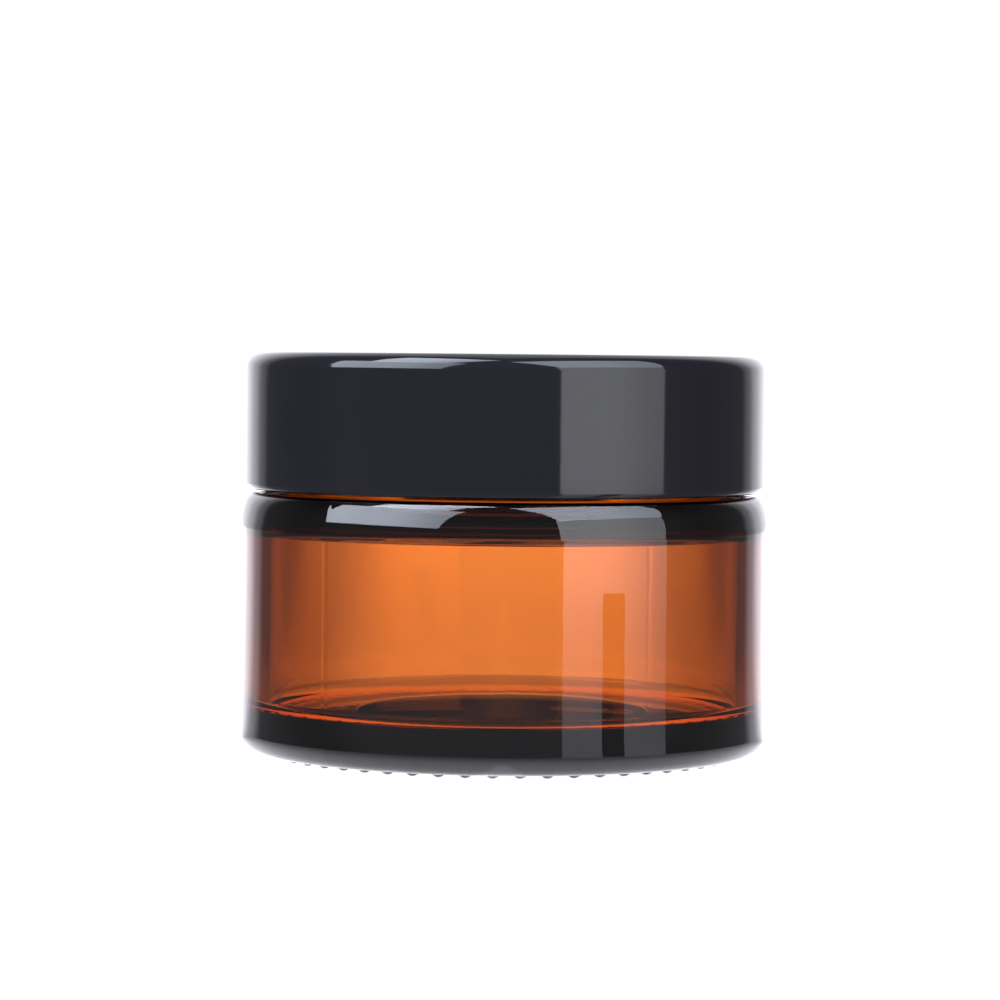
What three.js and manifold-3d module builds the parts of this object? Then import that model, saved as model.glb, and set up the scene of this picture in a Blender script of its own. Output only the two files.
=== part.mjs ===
// A cosmetic cream jar: a straight-sided amber glass jar with a threaded neck and a double-walled screw lid.
// The lid is a glossy outer shell over a threaded insert with a foam liner. A sealing disc with a pull tab
// sits in the jar's mouth. Millimetres, +Z up, with the origin on the jar's axis in the plane it stands on.
import * as THREE from "three";
import { mergeVertices } from "three/addons/utils/BufferGeometryUtils.js";
import Module from "manifold-3d";

// Overall sizes
const OVERALL_HEIGHT = 39.4;
const JAR_RADIUS = 26;
const LID_RADIUS = 25.6;
const LID_BOTTOM = 26;

// Glass body
const SHOULDER_TOP = 25.7;
const WALL = 2.9;
const FLOOR_TOP = 4.3;
const FLOOR_CORNER = 1.4;
const FLOOR_DOME = { radius: 14.4, height: 1.1 };
const SHOULDER_ROUND = { across: 1.2, down: 3.4 };
const HEEL_ROUND = { across: 1.5, up: 1.8 };
const INNER_SHOULDER = { start: 21.6, across: 3.1, up: 1.6 };
const PUSH_UP = { height: 0.9, radius: 19.6, edge: 2 };

// Row of small studs under the base that keep the hot glass off the conveyor
const STUD_COUNT = 57;
const STUD_RING_RADIUS = 23.2;
const STUD_HEIGHT = 0.4;
const STUD_FOOT_RADIUS = 0.5;
const STUD_TIP_RADIUS = 0.25;
const STUD_SUNK = 0.2;

// Neck finish
const NECK_RADIUS = 20.9;
const NECK_ROOT_ROUND = 0.5;
const MOUTH_RADIUS = 18.5;
const THROAT_ROUND = 1.5;
const RIM_TOP = 35.4;
const RIM_ROUND = 0.6;

// Screw thread, one start, six turns to the inch
const LEAD = 25.4 / 6;
const THREAD_TURNS = 1.25;
const THREAD_FADE_TURNS = 0.08;
const THREAD_SUNK = 0.4;
const THREAD_END_SUNK = 0.1;
const NECK_THREAD = { crest: 22.1, footWidth: 2.2, crestWidth: 1, startTurn: 0, startHeight: 28.2 };
const LID_THREAD = { crest: 21.35, footWidth: 1.8, crestWidth: 0.8, startTurn: 0.35 };
const LID_THREAD_DROP = 1.55;

// Closure stack, upwards from the rim
const SEAT_GAP = 0.1;
const DISC_FLANGE = 0.7;
const LINER_THICKNESS = 0.8;
const INSERT_TOP = 38;
const FLANGE_BOTTOM = RIM_TOP + SEAT_GAP;
const FLANGE_TOP = FLANGE_BOTTOM + DISC_FLANGE;
const LINER_BOTTOM = FLANGE_TOP + SEAT_GAP;
const POCKET_TOP = LINER_BOTTOM + LINER_THICKNESS + SEAT_GAP;

// Sealing disc
const DISC_RADIUS = 20.6;
const DISC_PLUG_RADIUS = 18.1;
const DISC_WALL = 0.8;
const DISC_FLOOR = { bottom: 33.4, top: 34.1 };
const DISC_PLUG_BOTTOM = 33;
const PLASTIC_EDGE = 0.2;
const TAB = { width: 10, length: 14, thickness: 0.8, rootRadius: 17.3, bottom: 34.9 };

// Lid
const SHELL_WALL = 1.3;
const SHELL_TOP_THICKNESS = 1.2;
const SHELL_TOP_ROUND = 1.5;
const SHELL_EDGE_ROUND = 0.5;
const SHELL_INNER_ROUND = 0.6;
const SNAP_BEAD = { radius: 23.8, top: 26.45, bottom: 26.3 };
const LINER_RADIUS = 21.9;
const LINER_POCKET_RADIUS = 22.1;
const LINER_BEAD = { radius: 21.6, top: 36, bottom: 35.8, slope: 0.45 };
const INSERT_BORE = 22.5;
const INSERT_RADIUS = 23.4;
const INSERT_BOTTOM = 26.6;
const INSERT_FLANGE = { radius: 24, top: 27.4 };
const INSERT_TOP_ROUND = 0.6;
const RIB_COUNT = 12;
const RIB_WIDTH = 1.2;
const INSERT_RIBS = { from: 23.1, to: 23.95, bottom: 28.5, top: 37 };
const SHELL_RIBS = { from: 23.75, to: 24.6, bottom: 28.5, top: 38.4 };

// Facets
const OUTER_FACETS = 48;
const INNER_FACETS = 40;
const STUD_FACETS = 6;
const TAB_TIP_FACETS = 12;
const ARC_DIVISIONS = 2;
const MERGE_DISTANCE = 1e-4;

const wasm = await Module();
wasm.setup();

// A closed geometry as a solid that can be joined.
function solidFrom(geometry) {
  const bare = geometry.clone();
  bare.deleteAttribute("normal");
  bare.deleteAttribute("uv");
  const merged = mergeVertices(bare, MERGE_DISTANCE);
  return new wasm.Manifold(
    new wasm.Mesh({
      numProp: 3,
      vertProperties: merged.getAttribute("position").array,
      triVerts: new Uint32Array(merged.index.array),
    }),
  );
}

// The solid's surface as a geometry again.
function geometryFrom(solid) {
  const { numProp, vertProperties, triVerts } = solid.getMesh();
  const geometry = new THREE.BufferGeometry();
  geometry.setAttribute("position", new THREE.BufferAttribute(vertProperties, numProp));
  geometry.setIndex(new THREE.BufferAttribute(triVerts, 1));
  geometry.computeVertexNormals();
  return geometry;
}

function join(first, ...others) {
  const joined = others.reduce((sum, geometry) => sum.add(solidFrom(geometry)), solidFrom(first));
  return geometryFrom(joined);
}

// Part of an ellipse on an outline in the (radius, height) plane, between two angles in degrees.
function arc(path, radius, height, across, up, from, to) {
  const [start, end] = [from, to].map(THREE.MathUtils.degToRad);
  path.absellipse(radius, height, across, up, start, end, to < from, 0);
}

// An outline in the (radius, height) plane, turned round the Z axis.
function revolve(path, facets) {
  return new THREE.LatheGeometry(path.getPoints(ARC_DIVISIONS), facets).rotateX(Math.PI / 2);
}

// Copies of a geometry made on the +X side, spaced evenly round the Z axis.
function ringOf(geometry, count, firstTurn = 0) {
  const copies = [];
  for (let i = 0; i < count; i++) {
    copies.push(geometry.clone().rotateZ(2 * Math.PI * (firstTurn + i / count)));
  }
  return copies;
}

// Upright ribs between two radii.
function ribs({ from, to, bottom, top }, firstTurn) {
  const rib = new THREE.BoxGeometry(to - from, RIB_WIDTH, top - bottom);
  rib.translate((from + to) / 2, 0, (bottom + top) / 2);
  return ringOf(rib, RIB_COUNT, firstTurn);
}

// A thread ridge of trapezoid section wound round the Z axis. Its foot is sunk in the wall it grows from.
// Its crest rises out of that wall at one end and dies away into it at the other.
function threadRidge(wall, facets, { crest, footWidth, crestWidth, startTurn, startHeight }) {
  const outward = Math.sign(crest - wall);
  const foot = wall - outward * THREAD_SUNK;
  const hidden = wall - outward * THREAD_END_SUNK;
  const steps = Math.round(THREAD_TURNS * facets);
  const corners = 4;
  const positions = [];
  const triangles = [];
  for (let i = 0; i <= steps; i++) {
    const turned = (THREAD_TURNS * i) / steps;
    const angle = 2 * Math.PI * (startTurn + turned);
    const height = startHeight + LEAD * turned;
    const risen = Math.min(1, turned / THREAD_FADE_TURNS, (THREAD_TURNS - turned) / THREAD_FADE_TURNS);
    const top = THREE.MathUtils.lerp(hidden, crest, risen);
    const section = [
      [foot, (-outward * footWidth) / 2],
      [top, (-outward * crestWidth) / 2],
      [top, (outward * crestWidth) / 2],
      [foot, (outward * footWidth) / 2],
    ];
    for (const [radius, rise] of section) {
      positions.push(radius * Math.cos(angle), radius * Math.sin(angle), height + rise);
    }
  }
  for (let i = 0; i < steps; i++) {
    for (let j = 0; j < corners; j++) {
      const here = i * corners + j;
      const beside = i * corners + ((j + 1) % corners);
      triangles.push(here, here + corners, beside, beside, here + corners, beside + corners);
    }
  }
  const last = steps * corners;
  triangles.push(0, 1, 2, 0, 2, 3);
  triangles.push(last, last + 2, last + 1, last, last + 3, last + 2);
  const ridge = new THREE.BufferGeometry();
  ridge.setAttribute("position", new THREE.Float32BufferAttribute(positions, 3));
  ridge.setIndex(triangles);
  return ridge;
}

// The base, up the outside to the rim, and down the inside to the floor, which is domed in the middle.
function jarOutline() {
  const base = STUD_HEIGHT;
  const inner = JAR_RADIUS - WALL;
  const heel = JAR_RADIUS - HEEL_ROUND.across;
  const shoulder = JAR_RADIUS - SHOULDER_ROUND.across;
  const shoulderStart = SHOULDER_TOP - SHOULDER_ROUND.down;
  const root = NECK_RADIUS + NECK_ROOT_ROUND;
  const rimStart = RIM_TOP - RIM_ROUND;
  const throat = MOUTH_RADIUS + THROAT_ROUND;
  const ceiling = INNER_SHOULDER.start + INNER_SHOULDER.up;
  const innerShoulder = inner - INNER_SHOULDER.across;
  const path = new THREE.Path();
  path.moveTo(0, base + PUSH_UP.height);
  path.lineTo(PUSH_UP.radius, base + PUSH_UP.height);
  arc(path, PUSH_UP.radius, base, PUSH_UP.edge, PUSH_UP.height, 90, 0);
  arc(path, heel, base + HEEL_ROUND.up, HEEL_ROUND.across, HEEL_ROUND.up, 270, 360);
  arc(path, shoulder, shoulderStart, SHOULDER_ROUND.across, SHOULDER_ROUND.down, 0, 90);
  arc(path, root, SHOULDER_TOP + NECK_ROOT_ROUND, NECK_ROOT_ROUND, NECK_ROOT_ROUND, 270, 180);
  arc(path, NECK_RADIUS - RIM_ROUND, rimStart, RIM_ROUND, RIM_ROUND, 0, 90);
  arc(path, MOUTH_RADIUS + RIM_ROUND, rimStart, RIM_ROUND, RIM_ROUND, 90, 180);
  arc(path, throat, ceiling + THROAT_ROUND, THROAT_ROUND, THROAT_ROUND, 180, 270);
  arc(path, innerShoulder, INNER_SHOULDER.start, INNER_SHOULDER.across, INNER_SHOULDER.up, 90, 0);
  arc(path, inner - FLOOR_CORNER, FLOOR_TOP + FLOOR_CORNER, FLOOR_CORNER, FLOOR_CORNER, 0, -90);
  arc(path, 0, FLOOR_TOP, FLOOR_DOME.radius, FLOOR_DOME.height, 0, 90);
  return path;
}

// One stud on the +X side, tapering down to a flat tip.
function stud() {
  const height = STUD_HEIGHT + STUD_SUNK;
  const geometry = new THREE.CylinderGeometry(STUD_FOOT_RADIUS, STUD_TIP_RADIUS, height, STUD_FACETS);
  return geometry.rotateX(Math.PI / 2).translate(STUD_RING_RADIUS, 0, height / 2);
}

function glassJar() {
  const body = revolve(jarOutline(), OUTER_FACETS);
  const thread = threadRidge(NECK_RADIUS, OUTER_FACETS, NECK_THREAD);
  return join(body, thread, ...ringOf(stud(), STUD_COUNT));
}

// A tongue moulded to the wall of the disc's recess by its straight edge, clear of the recess floor.
function pullTab() {
  const half = TAB.width / 2;
  const tip = TAB.length - half;
  const outline = new THREE.Shape();
  outline.moveTo(-half, 0);
  outline.lineTo(half, 0);
  outline.lineTo(half, tip);
  outline.absarc(0, tip, half, 0, Math.PI, false);
  outline.closePath();
  const plate = new THREE.ExtrudeGeometry(outline, {
    depth: TAB.thickness,
    bevelEnabled: false,
    curveSegments: TAB_TIP_FACETS,
  });
  return plate.translate(0, -TAB.rootRadius, TAB.bottom);
}

// A shallow cup that plugs the mouth, with a flange over the rim and a tab to lift it by.
function sealingDisc() {
  const recess = DISC_PLUG_RADIUS - DISC_WALL;
  const path = new THREE.Path();
  path.moveTo(0, DISC_FLOOR.bottom);
  path.lineTo(recess, DISC_FLOOR.bottom);
  path.lineTo(recess, DISC_PLUG_BOTTOM);
  path.lineTo(DISC_PLUG_RADIUS - PLASTIC_EDGE, DISC_PLUG_BOTTOM);
  path.lineTo(DISC_PLUG_RADIUS, DISC_PLUG_BOTTOM + PLASTIC_EDGE);
  path.lineTo(DISC_PLUG_RADIUS, FLANGE_BOTTOM);
  path.lineTo(DISC_RADIUS - PLASTIC_EDGE, FLANGE_BOTTOM);
  path.lineTo(DISC_RADIUS, FLANGE_BOTTOM + PLASTIC_EDGE);
  path.lineTo(DISC_RADIUS, FLANGE_TOP - PLASTIC_EDGE);
  path.lineTo(DISC_RADIUS - PLASTIC_EDGE, FLANGE_TOP);
  path.lineTo(recess + PLASTIC_EDGE, FLANGE_TOP);
  path.lineTo(recess, FLANGE_TOP - PLASTIC_EDGE);
  path.lineTo(recess, DISC_FLOOR.top);
  path.lineTo(0, DISC_FLOOR.top);
  return join(revolve(path, INNER_FACETS), pullTab());
}

function lidLiner() {
  const liner = new THREE.CylinderGeometry(LINER_RADIUS, LINER_RADIUS, LINER_THICKNESS, INNER_FACETS);
  return liner.rotateX(Math.PI / 2);
}

// The threaded inner cap, with a lipped pocket for the liner and ribs that lock it in the shell.
function lidInsert() {
  const corner = INSERT_RADIUS - INSERT_TOP_ROUND;
  const path = new THREE.Path();
  path.moveTo(0, POCKET_TOP);
  path.lineTo(LINER_POCKET_RADIUS, POCKET_TOP);
  path.lineTo(LINER_POCKET_RADIUS, LINER_BEAD.top + PLASTIC_EDGE);
  path.lineTo(LINER_BEAD.radius, LINER_BEAD.top);
  path.lineTo(LINER_BEAD.radius, LINER_BEAD.bottom);
  path.lineTo(INSERT_BORE, LINER_BEAD.bottom - LINER_BEAD.slope);
  path.lineTo(INSERT_BORE, INSERT_BOTTOM + PLASTIC_EDGE);
  path.lineTo(INSERT_BORE + PLASTIC_EDGE, INSERT_BOTTOM);
  path.lineTo(INSERT_FLANGE.radius, INSERT_BOTTOM);
  path.lineTo(INSERT_FLANGE.radius, INSERT_FLANGE.top);
  path.lineTo(INSERT_RADIUS, INSERT_FLANGE.top);
  arc(path, corner, INSERT_TOP - INSERT_TOP_ROUND, INSERT_TOP_ROUND, INSERT_TOP_ROUND, 0, 90);
  path.lineTo(0, INSERT_TOP);
  const startHeight = NECK_THREAD.startHeight + LEAD * LID_THREAD.startTurn - LID_THREAD_DROP;
  const thread = threadRidge(INSERT_BORE, INNER_FACETS, { ...LID_THREAD, startHeight });
  return join(revolve(path, INNER_FACETS), thread, ...ribs(INSERT_RIBS, 0));
}

// The outer cap, with a bead inside its mouth that holds the insert and ribs between the insert's ribs.
function lidShell() {
  const bore = LID_RADIUS - SHELL_WALL;
  const ceiling = OVERALL_HEIGHT - SHELL_TOP_THICKNESS;
  const innerCorner = bore - SHELL_INNER_ROUND;
  const edge = LID_RADIUS - SHELL_EDGE_ROUND;
  const corner = LID_RADIUS - SHELL_TOP_ROUND;
  const path = new THREE.Path();
  path.moveTo(0, ceiling);
  path.lineTo(innerCorner, ceiling);
  arc(path, innerCorner, ceiling - SHELL_INNER_ROUND, SHELL_INNER_ROUND, SHELL_INNER_ROUND, 90, 0);
  path.lineTo(bore, SNAP_BEAD.top);
  path.lineTo(SNAP_BEAD.radius, SNAP_BEAD.top);
  path.lineTo(SNAP_BEAD.radius, SNAP_BEAD.bottom);
  path.lineTo(bore + SNAP_BEAD.bottom - LID_BOTTOM, LID_BOTTOM);
  arc(path, edge, LID_BOTTOM + SHELL_EDGE_ROUND, SHELL_EDGE_ROUND, SHELL_EDGE_ROUND, 270, 360);
  arc(path, corner, OVERALL_HEIGHT - SHELL_TOP_ROUND, SHELL_TOP_ROUND, SHELL_TOP_ROUND, 0, 90);
  path.lineTo(0, OVERALL_HEIGHT);
  return join(revolve(path, OUTER_FACETS), ...ribs(SHELL_RIBS, 0.5 / RIB_COUNT));
}

function part(name, geometry, material, z = 0) {
  const mesh = new THREE.Mesh(geometry, material);
  mesh.name = name;
  mesh.position.z = z;
  return mesh;
}

const amberGlass = new THREE.MeshStandardMaterial({
  color: "#a8501c",
  roughness: 0.05,
  metalness: 0,
  transparent: true,
  opacity: 0.6,
});
const glossBlack = new THREE.MeshStandardMaterial({ color: "#1d1c20", roughness: 0.08, metalness: 0 });
const satinBlack = new THREE.MeshStandardMaterial({ color: "#262529", roughness: 0.4, metalness: 0 });
const whiteFoam = new THREE.MeshStandardMaterial({ color: "#f0efec", roughness: 0.8, metalness: 0 });
const naturalPlastic = new THREE.MeshStandardMaterial({ color: "#e9e9e4", roughness: 0.35, metalness: 0 });

const jar = new THREE.Group();
jar.add(part("glass_jar", glassJar(), amberGlass));
jar.add(part("sealing_disc", sealingDisc(), naturalPlastic));

const lid = new THREE.Group();
lid.add(part("lid_liner", lidLiner(), whiteFoam, LINER_BOTTOM + LINER_THICKNESS / 2));
lid.add(part("lid_insert", lidInsert(), satinBlack));
lid.add(part("lid_shell", lidShell(), glossBlack));

const creamJar = new THREE.Group();
creamJar.add(jar, lid);

export default creamJar;
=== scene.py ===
"""A cosmetic cream jar of amber glass with a glossy black screw lid, on a white table in soft studio light.

The jar stands on the Z axis and the camera looks along +Y. Lengths are in millimetres, and are multiplied by
MM where a mesh, light or camera is made. Names that end in _M, distances in the table's patterns and the
materials are in metres.
"""
import math

import bpy
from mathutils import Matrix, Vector


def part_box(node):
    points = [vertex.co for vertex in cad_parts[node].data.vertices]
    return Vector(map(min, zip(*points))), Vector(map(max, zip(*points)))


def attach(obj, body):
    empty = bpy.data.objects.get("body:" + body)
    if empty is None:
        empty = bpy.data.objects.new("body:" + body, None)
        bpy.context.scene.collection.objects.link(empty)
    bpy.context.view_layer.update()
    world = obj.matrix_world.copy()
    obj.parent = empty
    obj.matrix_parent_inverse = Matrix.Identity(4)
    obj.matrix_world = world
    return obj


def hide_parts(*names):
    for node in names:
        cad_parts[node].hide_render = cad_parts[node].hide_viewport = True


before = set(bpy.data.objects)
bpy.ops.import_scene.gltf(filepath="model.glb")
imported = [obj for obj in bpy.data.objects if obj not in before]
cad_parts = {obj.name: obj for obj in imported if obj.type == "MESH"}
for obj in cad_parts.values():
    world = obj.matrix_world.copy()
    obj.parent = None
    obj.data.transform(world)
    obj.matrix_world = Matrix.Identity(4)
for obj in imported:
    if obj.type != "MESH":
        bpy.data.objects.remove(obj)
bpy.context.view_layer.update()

MM = 0.001
FRONT = math.radians(-90)

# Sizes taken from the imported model
JAR_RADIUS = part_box("glass_jar")[1].x / MM
RIM_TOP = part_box("glass_jar")[1].z / MM
LID_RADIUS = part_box("lid_shell")[1].x / MM
LID_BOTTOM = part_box("lid_shell")[0].z / MM
LID_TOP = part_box("lid_shell")[1].z / MM
INSERT_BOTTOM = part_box("lid_insert")[0].z / MM
INSERT_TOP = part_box("lid_insert")[1].z / MM
LINER_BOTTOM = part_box("lid_liner")[0].z / MM
LINER_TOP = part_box("lid_liner")[1].z / MM
LINER_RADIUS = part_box("lid_liner")[1].x / MM
DISC_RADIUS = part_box("sealing_disc")[1].x / MM
DISC_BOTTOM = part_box("sealing_disc")[0].z / MM
DISC_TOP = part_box("sealing_disc")[1].z / MM

# Glass body
SHOULDER_TOP = 25.7
WALL = 2.9
FLOOR_TOP = 4.3
FLOOR_CORNER = 1.4
FLOOR_DOME_RADIUS = 14.4
FLOOR_DOME_HEIGHT = 1.1
FLOOR_DOME_STEPS = 24
SHOULDER_ROUND = (1.2, 3.4)
HEEL_ROUND = (1.5, 1.8)
INNER_SHOULDER_START = 21.6
INNER_SHOULDER = (3.1, 1.6)
PUSH_UP_HEIGHT = 0.9
PUSH_UP_RADIUS = 19.6
PUSH_UP_EDGE = 2.0
STUD_COUNT = 57
STUD_RING_RADIUS = 23.2
STUD_HEIGHT = 0.4
STUD_RADIUS = 0.62
STUD_FULLNESS = 0.7

# Two mould seams, opposite each other
SEAM_ANGLE = FRONT - math.radians(40)
SEAM_HEIGHT = 0.03
SEAM_HALF_WIDTH = 0.2

# Neck finish and screw thread
NECK_RADIUS = 20.9
NECK_ROOT_ROUND = 0.5
MOUTH_RADIUS = 18.5
THROAT_ROUND = 1.5
RIM_ROUND = 0.6
LEAD = 25.4 / 6
THREAD_TURNS = 1.25
THREAD_FADE_TURNS = 0.08
NECK_THREAD = {"start_turn": 0.0, "start_height": 28.2, "height": 1.2, "foot": 1.1, "crest": 0.45}
LID_THREAD = {"start_turn": 0.35, "start_height": 28.13, "height": 1.15, "foot": 0.9, "crest": 0.35}

# Sealing disc
PLUG_RADIUS = 18.1
RECESS_RADIUS = 17.3
DISC_FLOOR = (33.4, 34.1)
FLANGE_BOTTOM = 35.5
PLASTIC_EDGE = 0.2
TAB_WIDTH = 10.0
TAB_LENGTH = 14.0
TAB_SUNK = 0.4
TAB_BOTTOM = 34.9
TAB_THICKNESS = 0.8
TAB_BEVEL = 0.15
TAB_TIP_STEPS = 24

# Lid
SHELL_BORE = 24.3
SHELL_CEILING = 38.2
SHELL_TOP_ROUND = 1.5
SHELL_EDGE_ROUND = 0.5
SHELL_INNER_ROUND = 0.6
SNAP_BEAD_RADIUS = 23.8
SNAP_BEAD_HEIGHTS = (26.3, 26.45)
INSERT_BORE = 22.5
INSERT_RADIUS = 23.4
INSERT_FLANGE_RADIUS = 24.0
INSERT_FLANGE_TOP = 27.4
POCKET_RADIUS = 22.1
POCKET_TOP = 37.2
LINER_BEAD_RADIUS = 21.6
LINER_BEAD_HEIGHTS = (35.8, 36.0)
LINER_BEAD_SLOPE = 0.45
LINER_EDGE = 0.15
INSERT_TOP_ROUND = 0.6
RIB_COUNT = 12
RIB_WIDTH = 1.2
INSERT_RIBS = {"inner": 23.1, "outer": 23.95, "bottom": 28.5, "top": 37.0}
SHELL_RIBS = {"inner": 23.75, "outer": 24.6, "bottom": 28.5, "top": 38.4}

# Mesh fineness
GLASS_SEGMENTS = 12 * STUD_COUNT
LID_SEGMENTS = 192
ARC_STEPS = 8
EDGE_STEPS = 4
FINE_STEP = 0.22
WALL_STEP = 3.0
HOLD_STEP = 0.04
FIRST_RING = 1.0
SAME_PLACE = 1e-6

# Camera
CAMERA_DISTANCE = 360.0
CAMERA_NEAREST_M = 0.01
CAMERA_LENS_MM = 131.3
CAMERA_PITCH = math.radians(2.3)
CAMERA_ROLL = math.radians(0.55)
AIM_LEFT = 0.44

# Glass. The density is what Blender's absorption node takes, per metre.
GLASS_IOR = 1.52
GLASS_COLOUR = (0.85, 0.545, 0.07, 1)
GLASS_DENSITY = 800.0
GLASS_BUMP = {"scale": 300.0, "distance": 0.000008, "detail": 1.0}

# Plastics
GLOSS_BLACK = {
    "colour": (0.007, 0.007, 0.009), "roughness": 0.06, "specular": 0.38,
    "bump": {"scale": 700.0, "distance": 0.000002},
}
SATIN_BLACK = {
    "colour": (0.018, 0.017, 0.02), "roughness": 0.4, "specular": 0.5,
    "bump": {"scale": 900.0, "distance": 0.00003},
}
WHITE_FOAM = {
    "colour": (0.84, 0.83, 0.8), "roughness": 0.8, "specular": 0.5,
    "bump": {"scale": 1500.0, "distance": 0.0001},
}
NATURAL_PLASTIC = {
    "colour": (0.72, 0.72, 0.68), "roughness": 0.35, "specular": 0.5,
    "bump": {"scale": 900.0, "distance": 0.00003},
}
DRIFT_SCALE = 90.0
DRIFT_DETAIL = 3.0
DRIFT_RANGE = (0.3, 0.7)
COLOUR_DRIFT = 0.04
GLOSS_DRIFT = 0.15

# Studio. A pattern is a starting size, then the changes to it: from one limit to another, by how much.
# The room's brightness changes with the angle in degrees from straight behind the jar. One pattern is seen
# through the glass and the other is mirrored in the jar.
ROOM_CLEAR = (2.15, ((3, 7.5, -1.03), (7.5, 14, -0.6), (14, 24, -0.3)))
ROOM_MIRRORED = (1.95, ((27, 36, -0.45), (36, 46, -0.9), (46, 53, -0.45), (80, 110, 0.12)))
ROOM_SEEN = 1.05
ROOM_TINT = (0.98, 0.96, 1.04, 1)

# How far in front of the jar each angle is measured from
MIRROR_APEX_M = 0.028
TABLE_APEX_M = 0.2
WORLD_APEX_M = 0.0

# The table's share of the room's brightness, by metres from the jar, and the world's, by the sine of the
# angle above the horizon
# The table's clear share is lowest close to the jar: painted shade of the jar on the table behind it.
TABLE_CLEAR_SHARES = (0.46, ((0.05, 0.09, 0.35), (0.1, 0.4, 0.17)))
TABLE_MIRRORED_SHARES = (1.6, ((0.4, 0.7, -0.6),))
WORLD_CLEAR_SHARES = (0.98, ((0.015, 0.05, -0.75), (0.06, 0.12, -0.22)))
WORLD_MIRRORED_SHARES = (1.0, ((0.2, 0.7, -0.4),))

# The table top: a painted shadow under the jar, then a painted pool of light round its base
TABLE_RADIUS_M = 6.0
TABLE_CORNERS = 64
# Painted shadow: the table's glow fades to nothing under the jar
TABLE_SHADE_M = (0.0222, 0.0245)
# Painted pool of light round the jar's base
TABLE_LIGHT_POOL = (2.35, ((0.025, 0.034, -1.4), (0.037, 0.042, -1.2)))

# Cards on the table. The glass wall mirrors each one between two distances to the right of the jar's axis,
# its sides, and over its reach away from the wall. The fade is by degrees to the right of the camera.
WHITE_CARD = {"name": "white_card", "sides": (5.7, 15.6), "reach": (14, 560), "height": 0.05}
DARK_CARD = {"name": "dark_card", "sides": (9.5, 11.6), "reach": (14, 260), "height": 0.1}
WHITE_CARD_NEAR_GLOW = 1.4
WHITE_CARD_FAR_GLOW = 2.9
WHITE_CARD_REACH_M = (0.03, 0.4)
WHITE_CARD_FADE = (40, 75, 1.0, 0.65)
DARK_CARD_GLOW = 0.3

# Soft boxes facing the lid. Azimuth is to the right of the camera's direction, in degrees. A fade gives two
# places across the box and the brightness at each.
BOX_DISTANCE = 600
HIGH_TINT = (0.88, 0.96, 1.12)
LOW_TINT = (0.97, 0.98, 1.04)
LEFT_FADE = (0.5, 1.0, 1.0, 0.6)
RIGHT_FADE = (0.4, 1.0, 1.0, 0.65)
SOFT_BOXES = (
    {"name": "right_low_box", "azimuth": 47.6, "elevation": 8.5, "width": 545, "height": 290,
     "radiance": 3.3, "colour": LOW_TINT, "fade": RIGHT_FADE},
    {"name": "right_high_box", "azimuth": 48.5, "elevation": 43.5, "width": 560, "height": 480,
     "radiance": 6.3, "colour": HIGH_TINT, "fade": RIGHT_FADE},
    {"name": "left_low_box", "azimuth": -54, "elevation": 27, "width": 620, "height": 395,
     "radiance": 8.0, "colour": HIGH_TINT, "fade": LEFT_FADE},
    {"name": "left_high_box", "azimuth": -50, "elevation": 59, "width": 360, "height": 320,
     "radiance": 12.0, "colour": HIGH_TINT, "fade": LEFT_FADE},
)


def arc(radius, height, across, up, start, end, steps=ARC_STEPS):
    """Points of part of an ellipse in the (radius, height) plane, between two angles in degrees."""
    points = []
    for i in range(steps + 1):
        angle = math.radians(start + (end - start) * i / steps)
        points.append((radius + across * math.cos(angle), height + up * math.sin(angle)))
    return points


def line(start, end, step=FINE_STEP):
    """Evenly spaced points from start to end."""
    steps = max(1, math.ceil(math.dist(start, end) / step))
    return [tuple(a + (b - a) * i / steps for a, b in zip(start, end)) for i in range(steps + 1)]


def wall(start, end):
    """A long flat stretch, kept flat right up to the rounds at its ends by a short step at each."""
    share = HOLD_STEP / math.dist(start, end)
    near = tuple(a + (b - a) * share for a, b in zip(start, end))
    far = tuple(b + (a - b) * share for a, b in zip(start, end))
    return [start, *line(near, far, WALL_STEP), end]


def without_repeats(points):
    kept = [points[0]]
    for point in points[1:]:
        if math.dist(point, kept[-1]) > SAME_PLACE:
            kept.append(point)
    return kept


def smooth_step(t):
    t = min(1.0, max(0.0, t))
    return t * t * (3 - 2 * t)


def revolve(outline, segments, shape=None, first_angle=0.0):
    """Vertices and faces of an outline from axis to axis, turned round Z, with each point moved by shape."""
    points = without_repeats(outline)
    rings = points[1:-1]
    vertices = []
    for radius, height in rings:
        for j in range(segments):
            angle = first_angle + 2 * math.pi * j / segments
            r, z = shape(radius, height, angle) if shape else (radius, height)
            vertices.append((r * math.cos(angle), r * math.sin(angle), z))
    first_pole = len(vertices)
    last_pole = first_pole + 1
    vertices.append((0.0, 0.0, points[0][1]))
    vertices.append((0.0, 0.0, points[-1][1]))
    last_ring = (len(rings) - 1) * segments
    faces = []
    for j in range(segments):
        k = (j + 1) % segments
        faces.append((first_pole, k, j))
        faces.append((last_ring + j, last_ring + k, last_pole))
    for i in range(len(rings) - 1):
        a = i * segments
        b = a + segments
        for j in range(segments):
            k = (j + 1) % segments
            faces.append((a + j, a + k, b + k, b + j))
    return vertices, faces


def piece(name, body, node, slot, material, *shells):
    """One object made of closed shells in millimetres, riding on a body in place of its CAD node."""
    vertices = []
    faces = []
    for shell_vertices, shell_faces in shells:
        offset = len(vertices)
        vertices += [tuple(c * MM for c in v) for v in shell_vertices]
        faces += [tuple(offset + i for i in f) for f in shell_faces]
    mesh = bpy.data.meshes.new(name)
    mesh.from_pydata(vertices, [], faces)
    mesh.shade_smooth()
    mesh.materials.append(material)
    obj = bpy.data.objects.new(name, mesh)
    bpy.context.scene.collection.objects.link(obj)
    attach(obj, body)
    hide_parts(node)
    return obj


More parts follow.
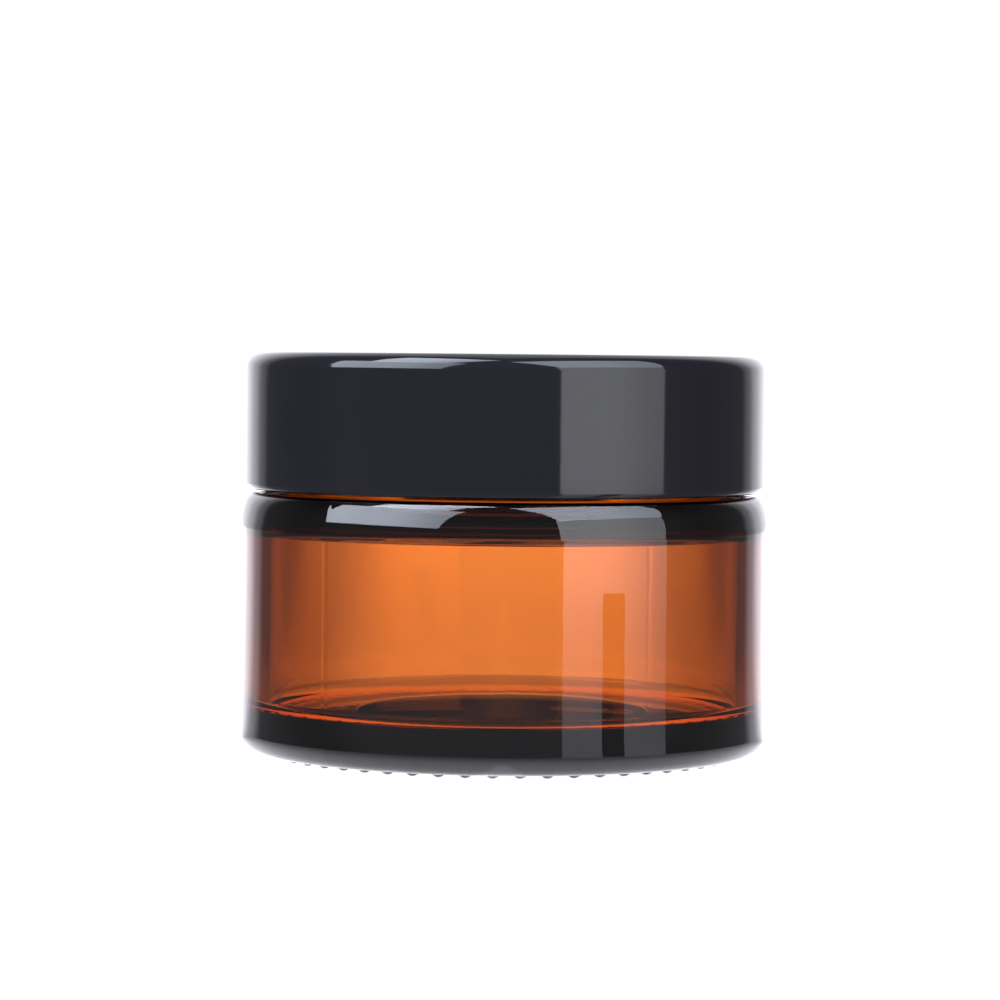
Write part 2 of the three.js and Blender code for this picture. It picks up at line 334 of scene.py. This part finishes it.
def thread_height(angle, height, thread):
    """How far a thread ridge stands out of its wall at one place."""
    turn = (angle / (2 * math.pi) - thread["start_turn"]) % 1.0
    rise = 0.0
    while turn < THREAD_TURNS:
        from_centre = abs(height - thread["start_height"] - LEAD * turn)
        flank = (thread["foot"] - from_centre) / (thread["foot"] - thread["crest"])
        fade = min(turn, THREAD_TURNS - turn) / THREAD_FADE_TURNS
        rise = max(rise, thread["height"] * smooth_step(flank) * smooth_step(fade))
        turn += 1.0
    return rise


def glass_outline():
    """The base, up the outside to the rim, and down the inside to the floor."""
    base = STUD_HEIGHT
    inner = JAR_RADIUS - WALL
    heel = JAR_RADIUS - HEEL_ROUND[0]
    shoulder = JAR_RADIUS - SHOULDER_ROUND[0]
    shoulder_start = SHOULDER_TOP - SHOULDER_ROUND[1]
    root = NECK_RADIUS + NECK_ROOT_ROUND
    root_top = SHOULDER_TOP + NECK_ROOT_ROUND
    rim_start = RIM_TOP - RIM_ROUND
    throat = MOUTH_RADIUS + THROAT_ROUND
    ceiling = INNER_SHOULDER_START + INNER_SHOULDER[1]
    inner_shoulder = inner - INNER_SHOULDER[0]
    outline = [(0.0, base + PUSH_UP_HEIGHT)]
    outline += wall((FIRST_RING, base + PUSH_UP_HEIGHT), (PUSH_UP_RADIUS, base + PUSH_UP_HEIGHT))
    outline += arc(PUSH_UP_RADIUS, base, PUSH_UP_EDGE, PUSH_UP_HEIGHT, 90, 0)
    outline += line((PUSH_UP_RADIUS + PUSH_UP_EDGE, base), (heel, base))
    outline += arc(heel, base + HEEL_ROUND[1], *HEEL_ROUND, 270, 360)
    outline += wall((JAR_RADIUS, base + HEEL_ROUND[1]), (JAR_RADIUS, shoulder_start))
    outline += arc(shoulder, shoulder_start, *SHOULDER_ROUND, 0, 90)
    outline += arc(root, root_top, NECK_ROOT_ROUND, NECK_ROOT_ROUND, 270, 180)
    outline += line((NECK_RADIUS, root_top), (NECK_RADIUS, rim_start))
    outline += arc(NECK_RADIUS - RIM_ROUND, rim_start, RIM_ROUND, RIM_ROUND, 0, 90)
    outline += arc(MOUTH_RADIUS + RIM_ROUND, rim_start, RIM_ROUND, RIM_ROUND, 90, 180)
    outline += arc(throat, ceiling + THROAT_ROUND, THROAT_ROUND, THROAT_ROUND, 180, 270)
    outline += arc(inner_shoulder, INNER_SHOULDER_START, *INNER_SHOULDER, 90, 0)
    outline += wall((inner, INNER_SHOULDER_START), (inner, FLOOR_TOP + FLOOR_CORNER))
    outline += arc(inner - FLOOR_CORNER, FLOOR_TOP + FLOOR_CORNER, FLOOR_CORNER, FLOOR_CORNER, 0, -90)
    outline += wall((inner - FLOOR_CORNER, FLOOR_TOP), (FLOOR_DOME_RADIUS, FLOOR_TOP))
    outline += arc(0.0, FLOOR_TOP, FLOOR_DOME_RADIUS, FLOOR_DOME_HEIGHT, 0, 90, FLOOR_DOME_STEPS)
    return outline


def glass_shape(radius, height, angle):
    """Adds the thread to the neck, the studs to the base and the two mould seams to the outer wall."""
    on_neck = abs(radius - NECK_RADIUS) < SAME_PLACE
    on_base = abs(height - STUD_HEIGHT) < SAME_PLACE
    if on_neck:
        radius += thread_height(angle, height, NECK_THREAD)
    if on_base:
        spacing = 2 * math.pi / STUD_COUNT
        turned = (angle - SEAM_ANGLE) % spacing
        across = STUD_RING_RADIUS * min(turned, spacing - turned)
        from_centre = math.hypot(across, radius - STUD_RING_RADIUS)
        height -= STUD_HEIGHT * max(0.0, 1 - (from_centre / STUD_RADIUS) ** 2) ** STUD_FULLNESS
    if radius > JAR_RADIUS - SHOULDER_ROUND[0] - SAME_PLACE and height > STUD_HEIGHT:
        from_seam = (angle - SEAM_ANGLE) % math.pi
        across = radius * min(from_seam, math.pi - from_seam)
        radius += SEAM_HEIGHT * max(0.0, 1 - across / SEAM_HALF_WIDTH)
    return radius, height


def make_glass(material):
    shell = revolve(glass_outline(), GLASS_SEGMENTS, glass_shape, SEAM_ANGLE)
    return piece("amber_glass_body", "jar", "glass_jar", "amber_glass", material, shell)


def make_disc(material):
    plug = PLUG_RADIUS
    edge = PLASTIC_EDGE
    outline = [(0.0, DISC_FLOOR[0])]
    outline += wall((FIRST_RING, DISC_FLOOR[0]), (RECESS_RADIUS, DISC_FLOOR[0]))
    outline += wall((RECESS_RADIUS, DISC_FLOOR[0]), (RECESS_RADIUS, DISC_BOTTOM))
    outline += arc(plug - edge, DISC_BOTTOM + edge, edge, edge, 270, 360, EDGE_STEPS)
    outline += wall((plug, DISC_BOTTOM + edge), (plug, FLANGE_BOTTOM))
    outline += arc(DISC_RADIUS - edge, FLANGE_BOTTOM + edge, edge, edge, 270, 360, EDGE_STEPS)
    outline += arc(DISC_RADIUS - edge, DISC_TOP - edge, edge, edge, 0, 90, EDGE_STEPS)
    outline += arc(RECESS_RADIUS + edge, DISC_TOP - edge, edge, edge, 90, 180, EDGE_STEPS)
    outline += wall((RECESS_RADIUS, DISC_TOP - edge), (RECESS_RADIUS, DISC_FLOOR[1]))
    outline += wall((RECESS_RADIUS, DISC_FLOOR[1]), (FIRST_RING, DISC_FLOOR[1]))
    outline.append((0.0, DISC_FLOOR[1]))
    shells = [revolve(outline, LID_SEGMENTS), tab_shell()]
    return piece("sealing_disc_with_tab", "disc", "sealing_disc", "natural_plastic", material, *shells)


def tab_shell():
    """The pull tab: a tongue with a round end, rooted in the wall of the disc's recess."""
    half = TAB_WIDTH / 2
    tip = TAB_LENGTH - half
    bevel = TAB_BEVEL
    rim = [(-half, -TAB_SUNK), (half, -TAB_SUNK)]
    rim += arc(0, tip, half, half, 0, 180, TAB_TIP_STEPS)
    levels = [(0.0, bevel), (bevel, 0.0), (TAB_THICKNESS - bevel, 0.0), (TAB_THICKNESS, bevel)]
    vertices = []
    for height, inset in levels:
        scale = 1 - inset / half
        vertices += [(x * scale, y * scale - RECESS_RADIUS, TAB_BOTTOM + height) for x, y in rim]
    count = len(rim)
    faces = [tuple(reversed(range(count))), tuple(range(3 * count, 4 * count))]
    for i in range(len(levels) - 1):
        for j in range(count):
            k = (j + 1) % count
            faces.append((i * count + j, i * count + k, (i + 1) * count + k, (i + 1) * count + j))
    return vertices, faces


def make_liner(material):
    edge = LINER_EDGE
    outline = [(0.0, LINER_BOTTOM)]
    outline += wall((FIRST_RING, LINER_BOTTOM), (LINER_RADIUS - edge, LINER_BOTTOM))
    outline += arc(LINER_RADIUS - edge, LINER_BOTTOM + edge, edge, edge, 270, 360, EDGE_STEPS)
    outline += arc(LINER_RADIUS - edge, LINER_TOP - edge, edge, edge, 0, 90, EDGE_STEPS)
    outline += wall((LINER_RADIUS - edge, LINER_TOP), (FIRST_RING, LINER_TOP))
    outline.append((0.0, LINER_TOP))
    shell = revolve(outline, LID_SEGMENTS)
    return piece("foam_liner", "liner", "lid_liner", "white_foam", material, shell)


def rib_shell(turn, inner, outer, bottom, top):
    """One upright rib between two radii."""
    angle = 2 * math.pi * turn
    along = (math.cos(angle), math.sin(angle))
    half = RIB_WIDTH / 2
    corners = [(inner, -half), (outer, -half), (outer, half), (inner, half)]
    vertices = []
    for height in (bottom, top):
        for r, side in corners:
            x = r * along[0] - side * along[1]
            y = r * along[1] + side * along[0]
            vertices.append((x, y, height))
    faces = [(3, 2, 1, 0), (4, 5, 6, 7)]
    for j in range(4):
        k = (j + 1) % 4
        faces.append((j, k, 4 + k, 4 + j))
    return vertices, faces


def insert_shape(radius, height, angle):
    """Adds the inward thread to the insert's bore."""
    if abs(radius - INSERT_BORE) < SAME_PLACE:
        radius -= thread_height(angle, height, LID_THREAD)
    return radius, height


def make_insert(material):
    edge = PLASTIC_EDGE
    bead_low, bead_high = LINER_BEAD_HEIGHTS
    bore_top = bead_low - LINER_BEAD_SLOPE
    corner = INSERT_RADIUS - INSERT_TOP_ROUND
    corner_start = INSERT_TOP - INSERT_TOP_ROUND
    outline = [(0.0, POCKET_TOP)]
    outline += wall((FIRST_RING, POCKET_TOP), (POCKET_RADIUS, POCKET_TOP))
    outline += wall((POCKET_RADIUS, POCKET_TOP), (POCKET_RADIUS, bead_high + edge))
    outline += [(LINER_BEAD_RADIUS, bead_high), (LINER_BEAD_RADIUS, bead_low)]
    outline += line((INSERT_BORE, bore_top), (INSERT_BORE, INSERT_BOTTOM + edge))
    outline += arc(INSERT_BORE + edge, INSERT_BOTTOM + edge, edge, edge, 180, 270, EDGE_STEPS)
    outline += [(INSERT_FLANGE_RADIUS, INSERT_BOTTOM), (INSERT_FLANGE_RADIUS, INSERT_FLANGE_TOP)]
    outline += wall((INSERT_RADIUS, INSERT_FLANGE_TOP), (INSERT_RADIUS, corner_start))
    outline += arc(corner, corner_start, INSERT_TOP_ROUND, INSERT_TOP_ROUND, 0, 90, EDGE_STEPS)
    outline.append((0.0, INSERT_TOP))
    shells = [revolve(outline, LID_SEGMENTS, insert_shape)]
    for i in range(RIB_COUNT):
        shells.append(rib_shell(i / RIB_COUNT, **INSERT_RIBS))
    return piece("threaded_insert", "lid", "lid_insert", "satin_black", material, *shells)


def make_shell(material):
    inner_round = SHELL_INNER_ROUND
    edge = LID_RADIUS - SHELL_EDGE_ROUND
    corner = LID_RADIUS - SHELL_TOP_ROUND
    inner_corner = SHELL_BORE - inner_round
    bead_low, bead_high = SNAP_BEAD_HEIGHTS
    mouth = SHELL_BORE + bead_low - LID_BOTTOM
    outline = [(0.0, SHELL_CEILING)]
    outline += wall((FIRST_RING, SHELL_CEILING), (inner_corner, SHELL_CEILING))
    outline += arc(inner_corner, SHELL_CEILING - inner_round, inner_round, inner_round, 90, 0, EDGE_STEPS)
    outline += wall((SHELL_BORE, SHELL_CEILING - inner_round), (SHELL_BORE, bead_high))
    outline += [(SNAP_BEAD_RADIUS, bead_high), (SNAP_BEAD_RADIUS, bead_low), (mouth, LID_BOTTOM)]
    outline += arc(edge, LID_BOTTOM + SHELL_EDGE_ROUND, SHELL_EDGE_ROUND, SHELL_EDGE_ROUND, 270, 360)
    outline += wall((LID_RADIUS, LID_BOTTOM + SHELL_EDGE_ROUND), (LID_RADIUS, LID_TOP - SHELL_TOP_ROUND))
    outline += arc(corner, LID_TOP - SHELL_TOP_ROUND, SHELL_TOP_ROUND, SHELL_TOP_ROUND, 0, 90)
    outline += wall((corner, LID_TOP), (FIRST_RING, LID_TOP))
    outline.append((0.0, LID_TOP))
    shells = [revolve(outline, LID_SEGMENTS)]
    for i in range(RIB_COUNT):
        shells.append(rib_shell((i + 0.5) / RIB_COUNT, **SHELL_RIBS))
    return piece("gloss_lid_shell", "lid", "lid_shell", "gloss_black", material, *shells)


def new_material(name):
    """A material, with its nodes, its links and its Principled shader."""
    material = bpy.data.materials.new(name)
    material.use_nodes = True
    nodes = material.node_tree.nodes
    return material, nodes, material.node_tree.links, nodes["Principled BSDF"]


def add_bump(nodes, links, shader, scale, distance, detail=2.0):
    """Fine unevenness of the surface."""
    place = nodes.new("ShaderNodeTexCoord")
    noise = nodes.new("ShaderNodeTexNoise")
    noise.inputs["Scale"].default_value = scale
    noise.inputs["Detail"].default_value = detail
    bump = nodes.new("ShaderNodeBump")
    bump.inputs["Distance"].default_value = distance
    bump.inputs["Strength"].default_value = 1.0
    links.new(place.outputs["Object"], noise.inputs["Vector"])
    links.new(noise.outputs["Fac"], bump.inputs["Height"])
    links.new(bump.outputs["Normal"], shader.inputs["Normal"])


def amber_glass():
    material, nodes, links, shader = new_material("amber_glass")
    shader.inputs["Base Color"].default_value = (1, 1, 1, 1)
    shader.inputs["Transmission Weight"].default_value = 1.0
    shader.inputs["Roughness"].default_value = 0.0
    shader.inputs["IOR"].default_value = GLASS_IOR
    absorption = nodes.new("ShaderNodeVolumeAbsorption")
    absorption.inputs["Color"].default_value = GLASS_COLOUR
    absorption.inputs["Density"].default_value = GLASS_DENSITY
    links.new(absorption.outputs["Volume"], nodes["Material Output"].inputs["Volume"])
    add_bump(nodes, links, shader, **GLASS_BUMP)
    return material


def plain_plastic(name, colour, roughness, specular, bump):
    """A moulded plastic with a fine texture, whose colour and gloss drift a little over the surface."""
    material, nodes, links, shader = new_material(name)
    place = nodes.new("ShaderNodeTexCoord")
    noise = nodes.new("ShaderNodeTexNoise")
    noise.inputs["Scale"].default_value = DRIFT_SCALE
    noise.inputs["Detail"].default_value = DRIFT_DETAIL
    links.new(place.outputs["Object"], noise.inputs["Vector"])
    tint = nodes.new("ShaderNodeValToRGB")
    for stop, position, drift in zip(tint.color_ramp.elements, DRIFT_RANGE, (-COLOUR_DRIFT, COLOUR_DRIFT)):
        stop.position = position
        stop.color = (*[c * (1 + drift) for c in colour], 1)
    links.new(noise.outputs["Fac"], tint.inputs["Fac"])
    links.new(tint.outputs["Color"], shader.inputs["Base Color"])
    gloss = nodes.new("ShaderNodeMapRange")
    gloss.inputs["From Min"].default_value = DRIFT_RANGE[0]
    gloss.inputs["From Max"].default_value = DRIFT_RANGE[1]
    gloss.inputs["To Min"].default_value = roughness * (1 - GLOSS_DRIFT)
    gloss.inputs["To Max"].default_value = roughness * (1 + GLOSS_DRIFT)
    links.new(noise.outputs["Fac"], gloss.inputs["Value"])
    links.new(gloss.outputs["Result"], shader.inputs["Roughness"])
    shader.inputs["Specular IOR Level"].default_value = specular
    add_bump(nodes, links, shader, **bump)
    return material


def ramp(nodes, links, value, start, end, low, high):
    """A smooth change from low to high while a value goes from start to end."""
    change = nodes.new("ShaderNodeMapRange")
    change.interpolation_type = "SMOOTHSTEP"
    change.inputs["From Min"].default_value = start
    change.inputs["From Max"].default_value = end
    change.inputs["To Min"].default_value = low
    change.inputs["To Max"].default_value = high
    links.new(value, change.inputs["Value"])
    return change.outputs["Result"]


def arithmetic(nodes, links, operation, *values):
    step = nodes.new("ShaderNodeMath")
    step.operation = operation
    for socket, value in zip(step.inputs, values):
        if isinstance(value, (int, float)):
            socket.default_value = value
        else:
            links.new(value, socket)
    return step.outputs["Value"]


def stepped(nodes, links, value, pattern):
    """A quantity that follows a pattern: a starting size, then changes as a value passes its limits."""
    size, changes = pattern
    for start, end, change in changes:
        size = arithmetic(nodes, links, "ADD", ramp(nodes, links, value, start, end, 0.0, change), size)
    return size


def angle_behind(nodes, links, place, apex):
    """Degrees away from straight behind, seen from a point that is apex metres in front of the jar."""
    axes = nodes.new("ShaderNodeSeparateXYZ")
    links.new(place, axes.inputs["Vector"])
    across = arithmetic(nodes, links, "ABSOLUTE", axes.outputs["X"])
    along = arithmetic(nodes, links, "ADD", axes.outputs["Y"], apex)
    return arithmetic(nodes, links, "DEGREES", arithmetic(nodes, links, "ARCTAN2", across, along))


def room_glow(nodes, links, place, apex, clear_share, mirrored_share):
    """The room's brightness at a place or in a direction: one pattern through the glass, one mirrored."""
    clear = stepped(nodes, links, angle_behind(nodes, links, place, apex), ROOM_CLEAR)
    clear = arithmetic(nodes, links, "MULTIPLY", clear, clear_share)
    mirrored = stepped(nodes, links, angle_behind(nodes, links, place, MIRROR_APEX_M), ROOM_MIRRORED)
    mirrored = arithmetic(nodes, links, "MULTIPLY", mirrored, mirrored_share)
    through = nodes.new("ShaderNodeLightPath").outputs["Is Transmission Ray"]
    difference = arithmetic(nodes, links, "SUBTRACT", clear, mirrored)
    return arithmetic(nodes, links, "MULTIPLY_ADD", difference, through, mirrored)


def choose_by_camera(nodes, links, hidden, seen):
    """One shader for what the camera sees, another for what lights the jar and is mirrored in it."""
    path = nodes.new("ShaderNodeLightPath")
    choice = nodes.new("ShaderNodeMixShader")
    links.new(path.outputs["Is Camera Ray"], choice.inputs["Fac"])
    links.new(hidden, choice.inputs[1])
    links.new(seen, choice.inputs[2])
    return choice.outputs["Shader"]


def glowing(nodes, links, strength, tint=(1, 1, 1, 1)):
    """A light of one tint, its strength a number or another node's output."""
    glow = nodes.new("ShaderNodeEmission")
    glow.inputs["Color"].default_value = tint
    if isinstance(strength, float):
        glow.inputs["Strength"].default_value = strength
    else:
        links.new(strength, glow.inputs["Strength"])
    return glow.outputs["Emission"]


def distance_from_jar(nodes, links):
    """The place on a flat sheet and its distance from the jar's axis, in metres."""
    place = nodes.new("ShaderNodeTexCoord").outputs["Object"]
    length = nodes.new("ShaderNodeVectorMath")
    length.operation = "LENGTH"
    links.new(place, length.inputs[0])
    return place, length.outputs["Value"]


def table_glow(nodes, links):
    """The table's own light: a painted shadow under the jar, a painted pool of light round it, then the
    room's pattern.
    """
    place, distance = distance_from_jar(nodes, links)
    clear = stepped(nodes, links, distance, TABLE_CLEAR_SHARES)
    mirrored = stepped(nodes, links, distance, TABLE_MIRRORED_SHARES)
    glow = room_glow(nodes, links, place, TABLE_APEX_M, clear, mirrored)
    # Painted pool of light round the jar's base
    light_pool = stepped(nodes, links, distance, TABLE_LIGHT_POOL)
    glow = arithmetic(nodes, links, "MAXIMUM", glow, light_pool)
    # Painted shadow: no glow under the jar
    return arithmetic(nodes, links, "MULTIPLY", glow, ramp(nodes, links, distance, *TABLE_SHADE_M, 0.0, 1.0))


def flat_sheet(name, corners, height, material):
    """A flat sheet of the studio, from its corners in millimetres."""
    mesh = bpy.data.meshes.new(name)
    vertices = [(x * MM, y * MM, height * MM) for x, y in corners]
    mesh.from_pydata(vertices, [], [tuple(range(len(corners)))])
    mesh.materials.append(material)
    sheet = bpy.data.objects.new(name, mesh)
    bpy.context.scene.collection.objects.link(sheet)
    return sheet


def make_table():
    """A white table top, which the camera sees as plain white."""
    material, nodes, links, _ = new_material("white_table")
    hidden = glowing(nodes, links, table_glow(nodes, links), ROOM_TINT)
    surface = choose_by_camera(nodes, links, hidden, glowing(nodes, links, ROOM_SEEN))
    links.new(surface, nodes["Material Output"].inputs["Surface"])
    corners = []
    radius = TABLE_RADIUS_M / MM
    for j in range(TABLE_CORNERS):
        angle = 2 * math.pi * j / TABLE_CORNERS
        corners.append((radius * math.cos(angle), radius * math.sin(angle)))
    flat_sheet("table_top", corners, 0.0, material)


def mirrored_card(material, name, sides, reach, height):
    """A sheet on the table, hidden from the camera, placed where the glass wall mirrors it."""
    corners = []
    for side, ends in ((sides[0], reach), (sides[1], reach[::-1])):
        normal = math.asin(side / JAR_RADIUS)
        away = FRONT + 2 * normal
        for end in ends:
            x = side + end * math.cos(away)
            y = -JAR_RADIUS * math.cos(normal) + end * math.sin(away)
            corners.append((x, y))
    card = flat_sheet(name, corners, height, material)
    card.visible_camera = False


def make_white_card():
    """A card that is brighter further out and dims round to the right."""
    material, nodes, links, _ = new_material("white_card")
    place, distance = distance_from_jar(nodes, links)
    axes = nodes.new("ShaderNodeSeparateXYZ")
    links.new(place, axes.inputs["Vector"])
    toward = arithmetic(nodes, links, "MULTIPLY", axes.outputs["Y"], -1.0)
    angle = arithmetic(nodes, links, "ARCTAN2", axes.outputs["X"], toward)
    angle = arithmetic(nodes, links, "DEGREES", angle)
    glow = ramp(nodes, links, distance, *WHITE_CARD_REACH_M, WHITE_CARD_NEAR_GLOW, WHITE_CARD_FAR_GLOW)
    glow = arithmetic(nodes, links, "MULTIPLY", glow, ramp(nodes, links, angle, *WHITE_CARD_FADE))
    links.new(glowing(nodes, links, glow, ROOM_TINT), nodes["Material Output"].inputs["Surface"])
    mirrored_card(material, **WHITE_CARD)


def make_dark_card():
    """A narrow dark card lying on the white one."""
    material, nodes, links, _ = new_material("dark_card")
    glow = glowing(nodes, links, DARK_CARD_GLOW, ROOM_TINT)
    links.new(glow, nodes["Material Output"].inputs["Surface"])
    mirrored_card(material, **DARK_CARD)


def make_world():
    """The room round the table, which the camera sees as plain white."""
    world = bpy.data.worlds.new("studio")
    bpy.context.scene.world = world
    world.use_nodes = True
    nodes = world.node_tree.nodes
    links = world.node_tree.links
    place = nodes.new("ShaderNodeTexCoord").outputs["Generated"]
    axes = nodes.new("ShaderNodeSeparateXYZ")
    links.new(place, axes.inputs["Vector"])
    clear = stepped(nodes, links, axes.outputs["Z"], WORLD_CLEAR_SHARES)
    mirrored = stepped(nodes, links, axes.outputs["Z"], WORLD_MIRRORED_SHARES)
    glow = room_glow(nodes, links, place, WORLD_APEX_M, clear, mirrored)
    hidden = glowing(nodes, links, glow, ROOM_TINT)
    surface = choose_by_camera(nodes, links, hidden, glowing(nodes, links, ROOM_SEEN))
    links.new(surface, nodes["World Output"].inputs["Surface"])


def soft_box(name, azimuth, elevation, width, height, radiance, colour, fade):
    """A rectangular soft light of a given radiance facing the lid, faded across its width."""
    turn = FRONT + math.radians(azimuth)
    rise = math.radians(elevation)
    centre = Vector((0, 0, (LID_BOTTOM + LID_TOP) / 2))
    aim = Vector((math.cos(turn) * math.cos(rise), math.sin(turn) * math.cos(rise), math.sin(rise)))
    light = bpy.data.lights.new(name, "AREA")
    light.shape = "RECTANGLE"
    light.size = width * MM
    light.size_y = height * MM
    light.energy = radiance * math.pi * light.size * light.size_y
    light.color = colour
    light.use_nodes = True
    nodes = light.node_tree.nodes
    links = light.node_tree.links
    axes = nodes.new("ShaderNodeSeparateXYZ")
    links.new(nodes.new("ShaderNodeNewGeometry").outputs["Parametric"], axes.inputs["Vector"])
    links.new(ramp(nodes, links, axes.outputs["X"], *fade), nodes["Emission"].inputs["Strength"])
    lamp = bpy.data.objects.new(name, light)
    lamp.location = (centre + aim * BOX_DISTANCE) * MM
    lamp.rotation_euler = aim.to_track_quat("Z", "Y").to_euler()
    bpy.context.scene.collection.objects.link(lamp)


def make_camera():
    camera = bpy.data.objects.new("camera", bpy.data.cameras.new("camera"))
    camera.data.lens = CAMERA_LENS_MM
    camera.data.clip_start = CAMERA_NEAREST_M
    camera.location = Vector((0, -CAMERA_DISTANCE, LID_TOP)) * MM
    aim = Vector((-AIM_LEFT, 0, LID_TOP - CAMERA_DISTANCE * math.tan(CAMERA_PITCH))) * MM
    facing = (aim - camera.location).to_track_quat("-Z", "Y")
    camera.rotation_euler = facing.to_euler()
    camera.rotation_euler.rotate_axis("Z", CAMERA_ROLL)
    bpy.context.scene.collection.objects.link(camera)
    bpy.context.scene.camera = camera


make_glass(amber_glass())
make_disc(plain_plastic("natural_plastic", **NATURAL_PLASTIC))
make_liner(plain_plastic("white_foam", **WHITE_FOAM))
make_insert(plain_plastic("satin_black", **SATIN_BLACK))
make_shell(plain_plastic("gloss_black", **GLOSS_BLACK))
make_table()
make_white_card()
make_dark_card()
make_world()
for box in SOFT_BOXES:
    soft_box(**box)
make_camera()
bpy.context.scene.view_settings.view_transform = "Standard"
